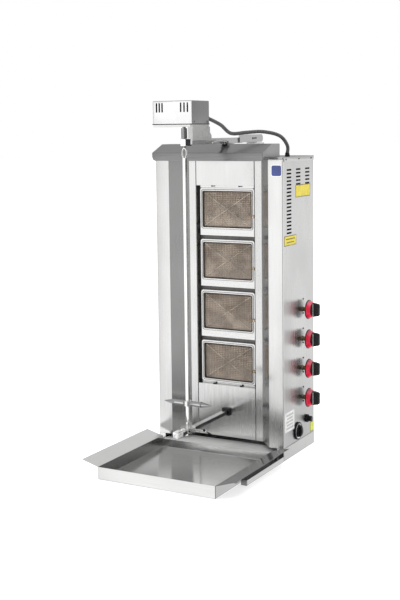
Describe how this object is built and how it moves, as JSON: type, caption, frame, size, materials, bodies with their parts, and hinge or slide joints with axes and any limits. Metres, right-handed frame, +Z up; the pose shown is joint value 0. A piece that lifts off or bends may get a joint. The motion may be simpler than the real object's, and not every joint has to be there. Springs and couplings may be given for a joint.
{
  "type": "vertical gas rotisserie grill",
  "caption": "Upright stainless gas rotisserie with stacked infrared burners, a motor-driven vertical skewer on sliding arms, side gas knobs and a slide-out drip tray.",
  "frame": {"origin": "centre of the underside of the base pan, on the table", "axes": "+Z up; -Y to the front, where the skewer and tray are; +X to the right of someone facing the grill, the side with the gas knobs"},
  "size_m": [0.5503, 0.681, 1.149],
  "materials": {
    "stainless": "brushed stainless sheet, satin with a vertical grain",
    "stainless_bright": "bright ground stainless",
    "steel_dark": "heat-dulled steel",
    "cast_alloy": "sand-cast, lightly pitted",
    "brass": "machined, slightly tarnished",
    "ceramic": "perforated infrared burner tile behind a wire mesh",
    "black_plastic": "moulded, semi-gloss",
    "knob_plastic": "black grip with a red skirt ring",
    "conduit_grey": "flexible metal conduit with a grey sheath"
  },
  "bodies": {
    "cabinet": {"base_pan": "stainless", "left_rail": "stainless", "right_rail": "stainless", "right_side_panel": "stainless", "left_side_panel": "stainless", "back_panel": "stainless", "top_cover": "stainless", "right_reflector": "stainless", "left_reflector": "stainless", "upper_panel": "stainless", "lower_panel": "stainless", "burner_carrier": "stainless", "gas_manifold": "brass", "igniter_bezel": "black_plastic", "switch_bezel": "black_plastic", "hood": "stainless", "front_arm_guide": "stainless", "rear_arm_guide": "stainless", "support_arm": "stainless_bright", "support_collar": "steel_dark", "conduit": "conduit_grey", "burner_frame_1": "stainless", "burner_tile_1": "ceramic", "burner_box_1": "steel_dark", "gas_valve_1": "brass", "burner_frame_2": "stainless", "burner_tile_2": "ceramic", "burner_box_2": "steel_dark", "gas_valve_2": "brass", "burner_frame_3": "stainless", "burner_tile_3": "ceramic", "burner_box_3": "steel_dark", "gas_valve_3": "brass", "burner_frame_4": "stainless", "burner_tile_4": "ceramic", "burner_box_4": "steel_dark", "gas_valve_4": "brass"},
    "motor_carriage": {"motor_arm": "stainless", "bearing_block": "stainless_bright", "gearbox_bracket": "cast_alloy", "motor_base": "stainless", "motor_cover": "stainless", "gear_motor": "cast_alloy"},
    "skewer": {"drive_shaft": "stainless_bright", "skewer": "stainless_bright"},
    "meat_spike": {"meat_spike": "stainless_bright"},
    "pivot_carriage": {"pivot_carriage": "stainless_bright"},
    "clamp_screw": {"clamp_screw": "stainless_bright"},
    "arm_lock_lever": {"arm_lock_lever": "stainless_bright"},
    "drip_tray": {"drip_tray": "stainless"},
    "igniter_button": {"igniter_button": "black_plastic"},
    "switch_knob": {"switch_knob": "black_plastic"},
    "gas_spindle_1": {"gas_spindle_1": "brass"},
    "gas_knob_1": {"gas_knob_1": "knob_plastic"},
    "gas_spindle_2": {"gas_spindle_2": "brass"},
    "gas_knob_2": {"gas_knob_2": "knob_plastic"},
    "gas_spindle_3": {"gas_spindle_3": "brass"},
    "gas_knob_3": {"gas_knob_3": "knob_plastic"},
    "gas_spindle_4": {"gas_spindle_4": "brass"},
    "gas_knob_4": {"gas_knob_4": "knob_plastic"}
  },
  "joints": [
    {"name": "motor_slide", "type": "slide", "parent": "cabinet", "child": "motor_carriage", "axis": [0, 1, 0], "range_m": [-0.02, 0.09], "deforming": ["conduit"]},
    {"name": "pivot_slide", "type": "slide", "parent": "cabinet", "child": "pivot_carriage", "axis": [0, 1, 0], "range_m": [-0.02, 0.09]},
    {"name": "skewer_spin", "type": "hinge", "parent": "motor_carriage", "child": "skewer", "pos_m": [0, -0.3345, 0.5], "axis": [0, 0, 1], "continuous": true},
    {"name": "spike_height", "type": "slide", "parent": "skewer", "child": "meat_spike", "axis": [0, 0, 1], "range_m": [-0.02, 0.25]},
    {"name": "clamp_turn", "type": "hinge", "parent": "pivot_carriage", "child": "clamp_screw", "pos_m": [0.0135, -0.3175, 0.1277], "axis": [1, 0, 0], "range_deg": [-90, 90]},
    {"name": "arm_lock_turn", "type": "hinge", "parent": "cabinet", "child": "arm_lock_lever", "pos_m": [0.044, -0.1425, 1.021], "axis": [-1, 0, 0], "range_deg": [0, 90]},
    {"name": "tray_slide", "type": "slide", "parent": "cabinet", "child": "drip_tray", "axis": [0, -1, 0], "range_m": [0, 0.25]},
    {"name": "igniter_press", "type": "slide", "parent": "cabinet", "child": "igniter_button", "axis": [-1, 0, 0], "range_m": [0, 0.005], "stiffness_N_per_m": 900, "springref_m": -0.001},
    {"name": "switch_turn", "type": "hinge", "parent": "cabinet", "child": "switch_knob", "pos_m": [0.2366, -0.0145, 0.0757], "axis": [1, 0, 0], "range_deg": [-60, 60]},
    {"name": "knob_turn_1", "type": "hinge", "parent": "cabinet", "child": "gas_spindle_1", "pos_m": [0.248, 0.0355, 0.472], "axis": [-1, 0, 0], "range_deg": [0, 180]},
    {"name": "knob_push_1", "type": "slide", "parent": "gas_spindle_1", "child": "gas_knob_1", "axis": [-1, 0, 0], "range_m": [0, 0.004], "stiffness_N_per_m": 1500, "springref_m": -0.001},
    {"name": "knob_turn_2", "type": "hinge", "parent": "cabinet", "child": "gas_spindle_2", "pos_m": [0.248, 0.0355, 0.374], "axis": [-1, 0, 0], "range_deg": [0, 180]},
    {"name": "knob_push_2", "type": "slide", "parent": "gas_spindle_2", "child": "gas_knob_2", "axis": [-1, 0, 0], "range_m": [0, 0.004], "stiffness_N_per_m": 1500, "springref_m": -0.001},
    {"name": "knob_turn_3", "type": "hinge", "parent": "cabinet", "child": "gas_spindle_3", "pos_m": [0.248, 0.0355, 0.276], "axis": [-1, 0, 0], "range_deg": [0, 180]},
    {"name": "knob_push_3", "type": "slide", "parent": "gas_spindle_3", "child": "gas_knob_3", "axis": [-1, 0, 0], "range_m": [0, 0.004], "stiffness_N_per_m": 1500, "springref_m": -0.001},
    {"name": "knob_turn_4", "type": "hinge", "parent": "cabinet", "child": "gas_spindle_4", "pos_m": [0.248, 0.0355, 0.178], "axis": [-1, 0, 0], "range_deg": [0, 180]},
    {"name": "knob_push_4", "type": "slide", "parent": "gas_spindle_4", "child": "gas_knob_4", "axis": [-1, 0, 0], "range_m": [0, 0.004], "stiffness_N_per_m": 1500, "springref_m": -0.001}
  ],
  "couplings": [
    {"joint": "pivot_slide", "follows": "motor_slide", "ratio": 1}
  ]
}
